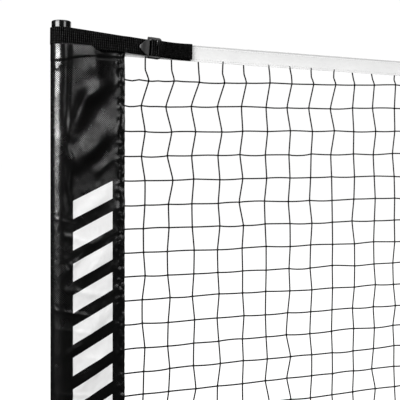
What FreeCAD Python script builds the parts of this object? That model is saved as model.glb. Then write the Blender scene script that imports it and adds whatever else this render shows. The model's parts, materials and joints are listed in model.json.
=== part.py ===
import FreeCAD, Part
import Sketcher
import math
import os

# A portable court net, 22 feet wide: three floor feet joined by plug-together rails, two
# uprights and a centre post, and a net whose corners are strapped to the uprights.
# Millimetres. +X runs along the net, -Y is its front, +Z is up and the floor is Z = 0.

SIZES = {
    # frame
    "post_spacing": 6706,
    "post_diameter": 28.6,
    "tube_wall": 1.2,
    "post_foot_gap": 2,
    "cap_top": 936,
    "cap_flange": 3.5,
    "foot_diameter": 31.8,
    "foot_wall": 1.6,
    "foot_axis_height": 18,
    "end_foot_length": 640,
    "center_foot_length": 500,
    "foot_cap_diameter": 39,
    "foot_cap_length": 45,
    "foot_cap_floor": 5,
    "socket_clearance": 0.3,
    "socket_wall": 1.6,
    "socket_base": 32.4,
    "socket_top": 105,
    "center_socket_top": 95,
    "center_post_diameter": 25.4,
    "center_post_top": 852,
    "center_post_offset": 16,
    # rails
    "rail_start": 20,
    "rail_gap": 0.5,
    "swage_diameter": 25.8,
    "swage_length": 80,
    "swage_taper": 8,
    "center_socket_reach": 110,
    # snap buttons
    "button_diameter": 8,
    "button_hole": 8.6,
    "button_proud": 4,
    "button_setback": 40,
    "post_button_height": 74,
    "leaf_width": 9,
    "leaf_thickness": 0.8,
    # net
    "net_top_at_posts": 914.4,
    "net_top_at_center": 863.6,
    "net_depth": 762,
    "net_thickness": 1,
    "tape_height": 25.4,
    "tape_thickness": 5.4,
    "tape_fabric": 0.95,
    "cord_diameter": 3,
    "center_strap_width": 50,
    # sleeves
    "sleeve_width": 96,
    "sleeve_bottom": 156,
    "sleeve_top": 900,
    "sleeve_fabric": 1,
    "sleeve_clearance": 0.6,
    # straps and buckles, measured from the post's axis
    "webbing_width": 25,
    "webbing_thickness": 1.3,
    "tail_end": 41,
    "anchor_end": 206,
    "top_strap_height": 913.2,
    "bottom_strap_height": 139.5,
    "top_strap_fall": 4.3,
    "bottom_strap_rise": 6.6,
    "buckle_bar": 149,
    "buckle_bar_diameter": 4,
    "buckle_plane": 8.9,
    "buckle_thickness": 4,
    "buckle_width": 33,
    "buckle_left": 129.6,
    "buckle_right": 151.6,
    "buckle_tab_tip": 117.5,
    "middle_bar_left": 136.9,
    "middle_bar_right": 142.8,
}

doc = FreeCAD.newDocument("court_net")
sheet = doc.addObject("Spreadsheet::Sheet", "sizes")
for row, (alias, value) in enumerate(SIZES.items(), start=1):
    sheet.set(f"A{row}", alias)
    sheet.set(f"B{row}", str(value))
    sheet.setAlias(f"B{row}", alias)
doc.recompute()

sub_parts = []


def size(alias):
    """Read one driving dimension from the sheet."""
    return float(sheet.get(alias))


def vec(x, y, z=0.0):
    return FreeCAD.Vector(x, y, z)


def turn(axis, degrees):
    return FreeCAD.Rotation(axis, degrees)


UP = vec(0, 0, 1)
ALONG = vec(1, 0, 0)
ACROSS = vec(0, 1, 0)
POST_X = size("post_spacing") / 2
FOOT_Z = size("foot_axis_height")
SIDES = {"left": -1, "right": 1}


def keep(piece, label, place=None, rotation=None):
    """Name a finished sub-part, put it in its place and list it for export."""
    piece.Label = label
    if place is not None:
        piece.Placement = FreeCAD.Placement(place, rotation or FreeCAD.Rotation())
    sub_parts.append(piece)
    return piece


# ---- primitives -------------------------------------------------------------------------


def cylinder(name, radius, height, place=None, rotation=None):
    """A cylinder whose radius and height are expressions on the sheet."""
    piece = doc.addObject("Part::Cylinder", name)
    piece.setExpression("Radius", radius)
    piece.setExpression("Height", height)
    piece.Placement = FreeCAD.Placement(place or vec(0, 0), rotation or FreeCAD.Rotation())
    return piece


def cut(name, base, *tools):
    """The base with every tool taken out of it."""
    tool = tools[0]
    if len(tools) > 1:
        tool = doc.addObject("Part::MultiFuse", name + "_tools")
        tool.Shapes = list(tools)
    piece = doc.addObject("Part::Cut", name)
    piece.Base = base
    piece.Tool = tool
    return piece


def group(name, *pieces):
    piece = doc.addObject("Part::Compound", name)
    piece.Links = list(pieces)
    return piece


# ---- sketches ---------------------------------------------------------------------------


def corner_arc(before, corner, after, radius):
    """Where a round of this radius leaves and rejoins the two sides of a corner."""
    a = (before - corner).normalize()
    b = (after - corner).normalize()
    half = a.getAngle(b) / 2
    reach = radius / math.tan(half)
    middle = corner + (a + b).normalize() * (radius / math.sin(half))
    return corner + a * reach, corner + b * reach, middle


def outline_edges(corners):
    """Lines and tangent arcs of a closed outline given as (x, y, radius) corners."""
    points = [vec(x, y) for x, y, radius in corners]
    count = len(corners)
    arcs = []
    for i, (x, y, radius) in enumerate(corners):
        if radius:
            arcs.append(corner_arc(points[i - 1], points[i], points[(i + 1) % count], radius))
        else:
            arcs.append((points[i], points[i], None))
    edges = []
    for i, (start, end, middle) in enumerate(arcs):
        if middle is not None:
            radius = (start - middle).Length
            mid_point = middle + ((start + end) * 0.5 - middle).normalize() * radius
            edges.append(Part.Arc(start, mid_point, end))
        next_start = arcs[(i + 1) % count][0]
        if (next_start - end).Length > 1e-6:
            edges.append(Part.LineSegment(end, next_start))
    return edges


def body_named(name):
    return doc.addObject("PartDesign::Body", name)


def sketch_on(body, role, outlines, name="outline"):
    """A sketch on one of the body's own planes, holding closed outlines."""
    sketch = body.newObject("Sketcher::SketchObject", body.Name + "_" + name)
    plane = [item for item in body.Origin.OriginFeatures if item.Role == role][0]
    sketch.AttachmentSupport = (plane, [""])
    sketch.MapMode = "FlatFace"
    for corners in outlines:
        for edge in outline_edges(corners):
            sketch.addGeometry(edge)
    return sketch


def circle_on(body, role, centers, radius, name="holes"):
    """A sketch of equal circles, each with its radius bound to the sheet."""
    sketch = sketch_on(body, role, [], name)
    for i, (x, y) in enumerate(centers):
        index = sketch.addGeometry(Part.Circle(vec(x, y), UP, 1))
        sketch.addConstraint(Sketcher.Constraint("Radius", index, 1))
        sketch.renameConstraint(sketch.ConstraintCount - 1, f"radius_{i}")
        sketch.setExpression(f"Constraints.radius_{i}", radius)
    return sketch


def pad(body, sketch, length, both_ways=False, reverse=False):
    feature = body.newObject("PartDesign::Pad", sketch.Name + "_pad")
    feature.Profile = sketch
    feature.setExpression("Length", length)
    feature.Midplane = both_ways
    feature.Reversed = reverse
    body.Tip = feature
    return feature


def pocket(body, sketch, length, both_ways=False, reverse=False):
    feature = body.newObject("PartDesign::Pocket", sketch.Name + "_pocket")
    feature.Profile = sketch
    feature.setExpression("Length", length)
    feature.Midplane = both_ways
    feature.Reversed = reverse
    body.Tip = feature
    return feature


def revolve(body, sketch, axis):
    """Turn a half profile a full turn about one of its sketch's axes, H_Axis or V_Axis."""
    feature = body.newObject("PartDesign::Revolution", sketch.Name + "_turned")
    feature.Profile = sketch
    feature.ReferenceAxis = (sketch, [axis])
    feature.Angle = 360
    body.Tip = feature
    return feature


def ribbon(path, thickness):
    """The closed outline of a strip that follows an open path of (x, y, radius) points."""
    points = [vec(x, y) for x, y, radius in path]
    last = len(points) - 1
    sides = {1: [], -1: []}
    for i, point in enumerate(points):
        into = (points[max(i, 1)] - points[max(i, 1) - 1]).normalize()
        out = (points[min(i + 1, last)] - points[min(i + 1, last) - 1]).normalize()
        bend = into.x * out.y - into.y * out.x
        miter = (vec(-into.y, into.x) + vec(-out.y, out.x)).normalize()
        stretch = 1 / miter.dot(vec(-into.y, into.x))
        for side, corners in sides.items():
            corner = point + miter * (side * stretch * thickness / 2)
            radius = path[i][2]
            if radius:
                radius -= side * math.copysign(thickness / 2, bend)
            corners.append((corner.x, corner.y, radius))
    return sides[1] + sides[-1][::-1]


def wrap_corner(point, radius, side):
    """The corner where a line from a point, tangent to a circle about the origin, meets the
    circle's leftmost tangent. A round of that radius at the corner follows the circle."""
    reach = math.hypot(*point)
    angle = math.atan2(point[1], point[0]) + side * math.acos(radius / reach)
    touch = (radius * math.cos(angle), radius * math.sin(angle))
    share = (-radius - point[0]) / (touch[0] - point[0])
    return (-radius, point[1] + share * (touch[1] - point[1]), radius)


# ---- feet and sockets -------------------------------------------------------------------


def foot_bar(label, x, length):
    name = label
    lying = turn(ALONG, -90)
    outer = cylinder(name + "_outer", "sizes.foot_diameter / 2", f"sizes.{length}", None, lying)
    inner = cylinder(
        name + "_inner", "sizes.foot_diameter / 2 - sizes.foot_wall", f"sizes.{length}", None, lying
    )
    keep(cut(name, outer, inner), label, vec(x, -size(length) / 2, FOOT_Z))


def foot_cap(name, x, y, facing):
    """A rubber cup pushed over the bar's end, with a flat sole on the floor."""
    body = body_named(name)
    outer = size("foot_cap_diameter") / 2
    inner = size("foot_diameter") / 2
    end = size("foot_cap_length")
    floor = end - size("foot_cap_floor")
    profile = [(0, inner, 0), (0, outer, 1.5), (end, outer, 5), (end, 0, 0), (floor, 0, 0), (floor, inner, 0)]
    revolve(body, sketch_on(body, "XY_Plane", [profile]), "H_Axis")
    sole = [(-1, -outer - 1, 0), (end + 1, -outer - 1, 0), (end + 1, -FOOT_Z, 0), (-1, -FOOT_Z, 0)]
    pocket(body, sketch_on(body, "XZ_Plane", [sole], "sole"), "sizes.foot_cap_diameter", both_ways=True)
    body.Placement = FreeCAD.Placement(vec(x, y, FOOT_Z), turn(UP, 90 * facing))
    return body


def foot_caps(label, x, length):
    """Both caps of one bar, seated so that the bar's end meets the inside of the cup."""
    seat = size(length) / 2 - size("foot_cap_length") + size("foot_cap_floor")
    front = foot_cap(label + "_front", x, -seat, -1)
    back = foot_cap(label + "_back", x, seat, 1)
    keep(group(label, front, back), label)


def post_socket(label, x, y, post_radius, top, hole_turn):
    """A short tube welded on a foot bar, which the post drops into."""
    bore = f"{post_radius} + sizes.socket_clearance"
    height = f"{top} - sizes.socket_base"
    base = vec(0, 0, size("socket_base"))
    outer = cylinder(label + "_outer", bore + " + sizes.socket_wall", height, base)
    inner = cylinder(label + "_inner", bore, height, base)
    bar = cylinder(
        label + "_bar", "sizes.foot_diameter / 2", "100", vec(0, -50, FOOT_Z), turn(ALONG, -90)
    )
    keep(cut(label, outer, inner, bar, button_hole(label, hole_turn)), label, vec(x, y))


def button_hole(name, rotation):
    """A hole from the post's axis out through one wall, at the button's height."""
    return cylinder(
        name + "_hole",
        "sizes.button_hole / 2",
        "sizes.foot_diameter",
        vec(0, 0, size("post_button_height")),
        rotation,
    )


def rail_stub(label, side):
    """The spigot welded to an end foot, which the outer rail slides over."""
    length = "sizes.rail_start + sizes.swage_length"
    lying = turn(ACROSS, 90)
    outer = cylinder(label + "_outer", "sizes.swage_diameter / 2", length, None, lying)
    inner = cylinder(
        label + "_inner", "sizes.swage_diameter / 2 - sizes.tube_wall", length, None, lying
    )
    bar = cylinder(
        label + "_bar", "sizes.foot_diameter / 2", "100", vec(0, -50, 0), turn(ALONG, -90)
    )
    hole_x = size("rail_start") + size("button_setback")
    hole = cylinder(label + "_hole", "sizes.button_hole / 2", "sizes.foot_diameter", vec(hole_x, 0, 0))
    facing = turn(UP, 90 + 90 * side)
    keep(cut(label, outer, inner, bar, hole), label, vec(side * POST_X, 0, FOOT_Z), facing)


def center_rail_socket(name, side):
    """The tube welded to the centre foot, which the inner rail's spigot enters."""
    lying = turn(ACROSS, 90)
    length = "sizes.center_socket_reach"
    outer = cylinder(name + "_outer", "sizes.post_diameter / 2", length, None, lying)
    inner = cylinder(name + "_inner", "sizes.post_diameter / 2 - sizes.tube_wall", length, None, lying)
    bar = cylinder(
        name + "_bar", "sizes.foot_diameter / 2", "100", vec(0, -50, 0), turn(ALONG, -90)
    )
    hole_x = size("center_socket_reach") - size("button_setback")
    hole = cylinder(name + "_hole", "sizes.button_hole / 2", "sizes.foot_diameter", vec(hole_x, 0, 0))
    piece = cut(name, outer, inner, bar, hole)
    piece.Placement = FreeCAD.Placement(vec(0, 0, FOOT_Z), turn(UP, 90 - 90 * side))
    return piece


def make_feet():
    for word, side in SIDES.items():
        foot_bar(word + "_foot_bar", side * POST_X, "end_foot_length")
        foot_caps(word + "_foot_caps", side * POST_X, "end_foot_length")
        post_socket(
            word + "_upright_socket",
            side * POST_X,
            0,
            "sizes.post_diameter / 2",
            "sizes.socket_top",
            turn(ALONG, 90),
        )
        rail_stub(word + "_rail_stub", side)
    foot_bar("center_foot_bar", 0, "center_foot_length")
    foot_caps("center_foot_caps", 0, "center_foot_length")
    post_socket(
        "center_post_socket",
        0,
        size("center_post_offset"),
        "sizes.center_post_diameter / 2",
        "sizes.center_socket_top",
        turn(ALONG, -90),
    )
    sockets = [center_rail_socket(f"center_{word}_socket", side) for word, side in SIDES.items()]
    keep(group("center_rail_sockets", *sockets), "center_rail_sockets")


# ---- posts ------------------------------------------------------------------------------


def post(label, x, y, radius, top, hole_turn):
    bottom = FOOT_Z + size("foot_diameter") / 2 + size("post_foot_gap")
    foot = vec(0, 0, bottom)
    height = f"{top} - {bottom}"
    outer = cylinder(label + "_outer", radius, height, foot)
    inner = cylinder(label + "_inner", radius + " - sizes.tube_wall", height, foot)
    keep(cut(label, outer, inner, button_hole(label, hole_turn)), label, vec(x, y))


def post_cap(label, x, y, radius, base):
    """A plug with a slightly domed head that sits flush with the tube's outside."""
    body = body_named(label)
    flange = size("cap_flange")
    bore = radius - size("tube_wall")
    dome = 1.0
    profile = [
        (0, -18, 0), (bore - 1.5, -18, 1), (bore - 0.1, -12, 0), (bore - 0.1, 0, 0),
        (radius, 0, 0.3), (radius, flange - dome, 1.6), (radius * 0.45, flange, 30), (0, flange, 0),
    ]  # fmt: skip
    revolve(body, sketch_on(body, "XZ_Plane", [profile]), "V_Axis")
    keep(body, label, vec(x, y, base))


def make_posts():
    flange_base = size("cap_top") - size("cap_flange")
    for word, side in SIDES.items():
        x = side * POST_X
        post(
            word + "_upright", x, 0, "sizes.post_diameter / 2", "sizes.cap_top - sizes.cap_flange",
            turn(ALONG, 90),
        )  # fmt: skip
        post_cap(word + "_upright_cap", x, 0, size("post_diameter") / 2, flange_base)
    y = size("center_post_offset")
    post("center_post", 0, y, "sizes.center_post_diameter / 2", "sizes.center_post_top", turn(ALONG, -90))
    post_cap("center_post_cap", 0, y, size("center_post_diameter") / 2, size("center_post_top"))


# ---- rails ------------------------------------------------------------------------------

RAIL_NAMES = ["outer", "middle", "inner"]
RAIL_LENGTH = (POST_X - size("rail_start") - size("center_socket_reach")) / 3 - size("rail_gap")
RAIL_PITCH = RAIL_LENGTH + size("rail_gap")


def rail(label, start, side):
    """A tube with an open end and a swaged end, each with a hole for a snap button."""
    body = body_named(label)
    outer = size("post_diameter") / 2
    inner = outer - size("tube_wall")
    small = size("swage_diameter") / 2
    small_inner = small - size("tube_wall")
    shoulder = RAIL_LENGTH - size("swage_taper")
    end = RAIL_LENGTH + size("swage_length")
    profile = [
        (0, inner, 0), (0, outer, 0), (shoulder, outer, 6), (RAIL_LENGTH, small, 6), (end, small, 0),
        (end, small_inner, 0), (RAIL_LENGTH, small_inner, 6), (shoulder, inner, 6),
    ]  # fmt: skip
    revolve(body, sketch_on(body, "XY_Plane", [profile]), "H_Axis")
    setback = size("button_setback")
    holes = [(setback, 0), (RAIL_PITCH + setback, 0)]
    sketch = circle_on(body, "XY_Plane", holes, "sizes.button_hole / 2")
    pocket(body, sketch, "sizes.post_diameter", reverse=True)
    facing = turn(UP, 90 + 90 * side)
    keep(body, label, vec(side * (POST_X - start), 0, FOOT_Z), facing)


def make_rails():
    for word, side in SIDES.items():
        for i, name in enumerate(RAIL_NAMES):
            rail(f"{word}_{name}_rail", size("rail_start") + i * RAIL_PITCH, side)


# ---- snap buttons -----------------------------------------------------------------------

# A snap button is made about the tube's axis: it points along its own +Z and its spring leaf
# runs along its own -X, inside the tube.
LEAF_FRONT = 6
LEAF_BACK = -24
BEND_GAP = 2


def snap_button(label, outer_radius, leaf_height, place, rotation):
    """A round-topped button on the upper leaf of its spring."""
    body = body_named(label)
    radius = size("button_diameter") / 2
    top = outer_radius + size("button_proud")
    profile = [(0, leaf_height, 0), (radius, leaf_height, 0), (radius, top, 2.4), (0, top, 0)]
    revolve(body, sketch_on(body, "XZ_Plane", [profile]), "V_Axis")
    base = leaf_height - size("leaf_thickness")
    leaf = [
        (LEAF_BACK, base, 0), (LEAF_FRONT, base, 0),
        (LEAF_FRONT, leaf_height, 0), (LEAF_BACK, leaf_height, 0),
    ]  # fmt: skip
    pad(body, sketch_on(body, "XZ_Plane", [leaf], "leaf"), "sizes.leaf_width", both_ways=True)
    keep(body, label, place, rotation)


def button_spring(name, leaf_height, place, rotation):
    """The lower leaf and the bend of the spring, which stay still in the tube."""
    body = body_named(name)
    thickness = size("leaf_thickness")
    low = -leaf_height
    high = leaf_height - thickness * 1.5
    bend = (high - low) / 2
    back = LEAF_BACK - BEND_GAP
    path = [
        (LEAF_FRONT, low, 0), (back - bend, low, bend), (back - bend, high, bend), (back, high, 0),
    ]  # fmt: skip
    pad(body, sketch_on(body, "XZ_Plane", [ribbon(path, thickness)]), "sizes.leaf_width", both_ways=True)
    body.Placement = FreeCAD.Placement(place, rotation)
    return body


def make_buttons():
    springs = []
    leaf = 10.0
    for word, side in SIDES.items():
        for i, name in enumerate(["foot"] + RAIL_NAMES):
            x = size("rail_start") + size("button_setback") + i * RAIL_PITCH
            place = vec(side * (POST_X - x), 0, FOOT_Z)
            facing = turn(UP, 90 + 90 * side)
            button = f"{word}_{name}_rail_button"
            snap_button(button, size("post_diameter") / 2, leaf, place, facing)
            springs.append(button_spring(button + "_spring", leaf, place, facing))
    keep(group("rail_button_springs", *springs), "rail_button_springs")

    springs = []
    toward_front = FreeCAD.Rotation(vec(0, 0, -1), vec(1, 0, 0), vec(0, -1, 0), "ZXY")
    toward_back = FreeCAD.Rotation(vec(0, 0, -1), vec(-1, 0, 0), vec(0, 1, 0), "ZXY")
    post_radius = size("post_diameter") / 2
    center_radius = size("center_post_diameter") / 2
    posts = [
        ("left_upright_button", -POST_X, 0, post_radius, toward_front),
        ("right_upright_button", POST_X, 0, post_radius, toward_front),
        ("center_post_button", 0, size("center_post_offset"), center_radius, toward_back),
    ]
    for button, x, y, radius, rotation in posts:
        place = vec(x, y, size("post_button_height"))
        leaf = radius - 3.0
        socket_radius = radius + size("socket_clearance") + size("socket_wall")
        snap_button(button, socket_radius, leaf, place, rotation)
        springs.append(button_spring(button + "_spring", leaf, place, rotation))
    keep(group("post_button_springs", *springs), "post_button_springs")


# ---- net --------------------------------------------------------------------------------


def net_top(x):
    """The height of the net's top edge: straight from each post down to the centre."""
    low = size("net_top_at_center")
    return low + (size("net_top_at_posts") - low) * abs(x) / POST_X


NET_END = POST_X - size("sleeve_width") - 0.5


def band(upper, lower, end):
    """A side outline between two depths below the net's top edge."""
    return [
        (-end, net_top(end) - upper, 0), (-end, net_top(end) - lower, 0), (0, net_top(0) - lower, 0),
        (end, net_top(end) - lower, 0), (end, net_top(end) - upper, 0), (0, net_top(0) - upper, 0),
    ]  # fmt: skip


def folded_tape(label, fold_depth, open_depth):
    """Tape folded over a cord along the net's edge: two faces joined at the fold."""
    body = body_named(label)
    outline = band(min(fold_depth, open_depth), max(fold_depth, open_depth), NET_END)
    pad(body, sketch_on(body, "XZ_Plane", [outline]), "sizes.tape_thickness", both_ways=True)
    inward = math.copysign(1, open_depth - fold_depth)
    start = fold_depth + inward * size("tape_fabric")
    slot_depths = sorted([start, open_depth + inward])
    slot = sketch_on(body, "XZ_Plane", [band(*slot_depths, NET_END + 1)], "slot")
    pocket(body, slot, "sizes.tape_thickness - 2 * sizes.tape_fabric", both_ways=True)
    keep(body, label)


def edge_cord(label, depth):
    """A cord along the inside of a tape's fold, bent a little at the centre."""
    end = NET_END - 2
    radius = size("cord_diameter") / 2
    ends = [vec(-end, 0, net_top(end) - depth), vec(end, 0, net_top(end) - depth)]
    middle = vec(0, 0, net_top(0) - depth)
    halves = [Part.makeCylinder(radius, (p - middle).Length, middle, p - middle) for p in ends]
    knee = Part.makeSphere(radius, middle)
    piece = doc.addObject("Part::Feature", label)
    piece.Shape = halves[0].fuse([knee, halves[1]]).removeSplitter()
    keep(piece, label, vec(0, 0))


def flat_panel(label, corners, thickness, place=None):
    """A flat piece in the net's plane, equally thick on both sides of it."""
    body = body_named(label)
    pad(body, sketch_on(body, "XZ_Plane", [corners]), thickness, both_ways=True)
    keep(body, label, place)


def center_loop(name, z):
    """A webbing ring sewn to the net's middle, which slips over the centre post."""
    bore = "sizes.center_post_diameter / 2 + sizes.socket_clearance"
    outer = cylinder(name + "_outer", bore + " + sizes.webbing_thickness", "sizes.webbing_width")
    inner = cylinder(name + "_inner", bore, "sizes.webbing_width")
    ring = cut(name, outer, inner)
    ring.Placement = FreeCAD.Placement(vec(0, size("center_post_offset"), z), FreeCAD.Rotation())
    return ring


def make_net():
    depth = size("net_depth")
    fold = size("tape_fabric") + size("cord_diameter") + 1
    flat_panel("net_mesh", band(fold, depth - fold, NET_END), "sizes.net_thickness")
    folded_tape("top_tape", 0, size("tape_height"))
    folded_tape("bottom_tape", depth, depth - size("tape_height"))
    inset = size("tape_fabric") + size("cord_diameter") / 2 + 0.2
    edge_cord("headline_cord", inset)
    edge_cord("footline_cord", depth - inset)

    half = size("center_strap_width") / 2
    top = net_top(0) - size("tape_height") + 4
    bottom = net_top(0) - depth + size("tape_height") - 4
    face = [(-half, bottom, 2), (half, bottom, 2), (half, top, 2), (-half, top, 2)]
    forward = -size("tape_thickness") / 2 - 0.9
    flat_panel("center_strap", face, "sizes.webbing_thickness", vec(0, forward, 0))

    heights = [top - 40, bottom + 20]
    loops = [center_loop(f"center_loop_{i}", z) for i, z in enumerate(heights)]
    keep(group("center_post_loops", *loops), "center_post_loops")


# ---- sleeves ----------------------------------------------------------------------------


def sleeve(label, side):
    """Coated fabric wrapped round the upright and sewn flat along its net edge."""
    body = body_named(label)
    inner = size("post_diameter") / 2 + size("sleeve_clearance")
    outer = inner + size("sleeve_fabric")
    tip = (size("sleeve_width"), 1.1)
    pocket_end = (size("sleeve_width") - 12, 0.3)
    outlines = []
    for (x, half), radius in [(tip, outer), (pocket_end, inner)]:
        outlines.append(
            [
                (x, -half, 0),
                (x, half, 0),
                wrap_corner((x, half), radius, 1),
                wrap_corner((x, -half), radius, -1),
            ]
        )
    pad(body, sketch_on(body, "XY_Plane", outlines), "sizes.sleeve_top - sizes.sleeve_bottom")
    facing = turn(UP, 90 + 90 * side)
    keep(body, label, vec(side * POST_X, 0, size("sleeve_bottom")), facing)


def make_sleeves():
    for word, side in SIDES.items():
        sleeve(word + "_sleeve", side)


# ---- straps and buckles -----------------------------------------------------------------

# Straps and buckles are made about the left upright's axis, in the strap's own level frame,
# then tilted to the strap's slope. Half a turn about Y gives the right upright's copy.
LOAD_LEVEL = -3.75
TAIL_LEVEL = -5.65
WRAP_LEFT = size("middle_bar_left") - 1
WRAP_RIGHT = size("middle_bar_right") + 1
WRAP_FRONT = -11.6
WRAP_BEND = 1.3


def strap_place(side, height, fall):
    tilt = turn(ACROSS, fall)
    if side > 0:
        tilt = turn(ACROSS, -fall).multiply(turn(ACROSS, 180))
    return vec(side * POST_X, 0, height), tilt


def webbing(label, path, place, rotation):
    body = body_named(label)
    strip = ribbon(path, size("webbing_thickness"))
    pad(body, sketch_on(body, "XY_Plane", [strip]), "sizes.webbing_width", both_ways=True)
    keep(body, label, place, rotation)


def post_strap_path(slope_angle):
    """From the tape's back, round the post, through the buckle and back to the free tail.
    The loop is wide enough for the tilted strap to clear the upright."""
    lean = size("webbing_width") / 2 * math.sin(math.radians(slope_angle))
    radius = size("post_diameter") / 2 + size("webbing_thickness") / 2 + abs(lean) + 0.35
    back_end = (150, 3.95)
    under_buckle = (size("buckle_left") + 1, LOAD_LEVEL)
    front = wrap_corner(under_buckle, radius, -1)
    slope = (front[1] - LOAD_LEVEL) / (front[0] - under_buckle[0])
    tail_x = size("tail_end")
    tail_y = TAIL_LEVEL + slope * (tail_x - under_buckle[0])
    return [
        (*back_end, 0),
        wrap_corner(back_end, radius, 1),
        front,
        (*under_buckle, 20),
        (WRAP_RIGHT, LOAD_LEVEL, WRAP_BEND),
        (WRAP_RIGHT, WRAP_FRONT, WRAP_BEND),
        (WRAP_LEFT, WRAP_FRONT, WRAP_BEND),
        (WRAP_LEFT, TAIL_LEVEL, WRAP_BEND),
        (under_buckle[0], TAIL_LEVEL, 20),
        (tail_x, tail_y, 0),
    ]


def anchor_path():
    """Sewn flat on the tape's front, round the buckle's fixed bar and back."""
    bar = size("buckle_bar")
    level = -size("buckle_plane")
    radius = (size("buckle_bar_diameter") + size("webbing_thickness")) / 2 + 0.35
    end = size("anchor_end")
    return [
        (end, -5.45, 0),
        (bar + 4, level - radius, 20),
        (bar - radius, level - radius, radius),
        (bar - radius, level + radius, radius),
        (bar + 4, level + radius, 20),
        (end - 6, -3.95, 0),
    ]


def buckle(label, place, rotation):
    """A tension-lock buckle: a plate with a slot and a middle bar, a round fixed bar at its
    far end, and a release tab towards the post."""
    body = body_named(label)
    half = size("buckle_width") / 2
    inner = size("webbing_width") / 2 + 0.6
    left, right = size("buckle_left"), size("buckle_right")
    near, far = size("middle_bar_left"), size("middle_bar_right")
    frame = [
        (left, -half, 3), (right, -half, 2.4), (right, -inner, 0.8), (far, -inner, 1),
        (far, inner, 1), (right, inner, 0.8), (right, half, 2.4), (left, half, 3),
    ]  # fmt: skip
    slot = [(left + 2.2, -inner, 1), (near, -inner, 1), (near, inner, 1), (left + 2.2, inner, 1)]
    pad(body, sketch_on(body, "XZ_Plane", [frame, slot]), "sizes.buckle_thickness", both_ways=True)
    tip = size("buckle_tab_tip")
    tab = [
        (left + 2, -half + 3, 0), (left + 2, half - 3, 0), (left - 1, half - 3, 2), (tip, 2.4, 2.2),
        (tip, -2.4, 2.2), (left - 1, -half + 3, 2),
    ]  # fmt: skip
    tabbed = pad(body, sketch_on(body, "XZ_Plane", [tab], "tab"), "sizes.buckle_thickness / 2")
    doc.recompute()
    front = -size("buckle_thickness") / 2 + 0.01
    numbered = enumerate(tabbed.Shape.Edges, start=1)
    front_edges = [f"Edge{i}" for i, edge in numbered if edge.BoundBox.YMax < front]
    rounding = body.newObject("PartDesign::Fillet", label + "_rounding")
    rounding.Base = (tabbed, front_edges)
    rounding.Radius = 0.7
    body.Tip = rounding
    bar = circle_on(body, "XY_Plane", [(size("buckle_bar"), 0)], "sizes.buckle_bar_diameter / 2", "bar")
    pad(body, bar, f"{2 * inner + 1}", both_ways=True)
    forward = rotation.multVec(vec(0, -size("buckle_plane")))
    keep(body, label, place + forward, rotation)


def make_straps():
    for word, side in SIDES.items():
        slopes = [
            ("top", size("top_strap_height"), size("top_strap_fall")),
            ("bottom", size("bottom_strap_height"), -size("bottom_strap_rise")),
        ]
        for level, height, fall in slopes:
            place, rotation = strap_place(side, height, fall)
            webbing(f"{word}_{level}_strap", post_strap_path(fall), place, rotation)
            webbing(f"{word}_{level}_anchor", anchor_path(), place, rotation)
            buckle(f"{word}_{level}_buckle", place, rotation)


# ---- build, check and write -------------------------------------------------------------

make_feet()
make_posts()
make_rails()
make_buttons()
make_net()
make_sleeves()
make_straps()
doc.recompute()

for item in doc.Objects:
    if "Invalid" in item.State or "Error" in item.State:
        raise RuntimeError(f"{item.Label} failed to recompute")
for piece in sub_parts:
    if piece.Shape.isNull() or not piece.Shape.isValid() or not piece.Shape.Solids:
        raise RuntimeError(f"{piece.Label} has no valid solid")

os.makedirs("parts", exist_ok=True)
for piece in sub_parts:
    piece.Shape.exportStep(f"parts/{piece.Label}.step")
    print(piece.Label, len(piece.Shape.Solids), round(piece.Shape.Volume))
print(len(sub_parts), "sub-parts")
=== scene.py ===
"""The looks of a portable court net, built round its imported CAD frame. Metres."""

import itertools
import json
import math

import bmesh
import bpy
import numpy as np
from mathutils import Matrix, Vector


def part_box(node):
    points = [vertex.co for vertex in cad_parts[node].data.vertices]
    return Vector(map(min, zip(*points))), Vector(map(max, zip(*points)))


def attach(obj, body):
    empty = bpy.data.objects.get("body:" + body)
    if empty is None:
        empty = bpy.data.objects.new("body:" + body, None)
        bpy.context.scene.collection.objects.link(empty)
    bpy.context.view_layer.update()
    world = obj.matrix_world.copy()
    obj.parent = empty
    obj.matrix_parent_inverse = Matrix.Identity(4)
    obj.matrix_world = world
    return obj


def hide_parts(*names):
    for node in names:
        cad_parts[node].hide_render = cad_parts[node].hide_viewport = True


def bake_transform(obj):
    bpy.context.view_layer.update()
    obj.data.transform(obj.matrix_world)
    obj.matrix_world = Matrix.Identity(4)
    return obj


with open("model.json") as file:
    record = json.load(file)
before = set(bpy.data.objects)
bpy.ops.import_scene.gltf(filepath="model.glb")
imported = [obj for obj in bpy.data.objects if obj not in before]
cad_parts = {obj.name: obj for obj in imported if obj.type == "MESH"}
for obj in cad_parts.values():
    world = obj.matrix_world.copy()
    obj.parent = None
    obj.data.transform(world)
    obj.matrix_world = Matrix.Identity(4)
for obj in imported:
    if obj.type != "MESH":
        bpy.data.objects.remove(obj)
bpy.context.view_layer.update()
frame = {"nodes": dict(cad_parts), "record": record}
rng = np.random.default_rng(7)

MM = 0.001
SIDES = {"left": -1, "right": 1}

# ---- places read from the frame ---------------------------------------------------------

upright_low, upright_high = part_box("left_upright")
POST_X = -(upright_low.x + upright_high.x) / 2
sleeve_low, sleeve_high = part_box("left_sleeve")
SLEEVE_R = -POST_X - sleeve_low.x
SLEEVE_W = sleeve_high.x + POST_X
SLEEVE_ROUND = 2 * SLEEVE_W + 2.1 * SLEEVE_R
tape_low, tape_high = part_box("top_tape")
TAPE_END = tape_high.x
TAPE_HALF = (tape_high.y - tape_low.y) / 2
TAPE_H = 25.4 * MM
BOTTOM_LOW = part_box("bottom_tape")[0].z
NET_DEPTH = 762 * MM
CENTER_TOP = BOTTOM_LOW + NET_DEPTH
TAPE_SLOPE = (tape_high.z - CENTER_TOP) / TAPE_END


def net_top(x):
    """Height of the net's top edge at a place along the net."""
    return CENTER_TOP + TAPE_SLOPE * np.abs(x)


# ---- materials --------------------------------------------------------------------------

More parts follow.
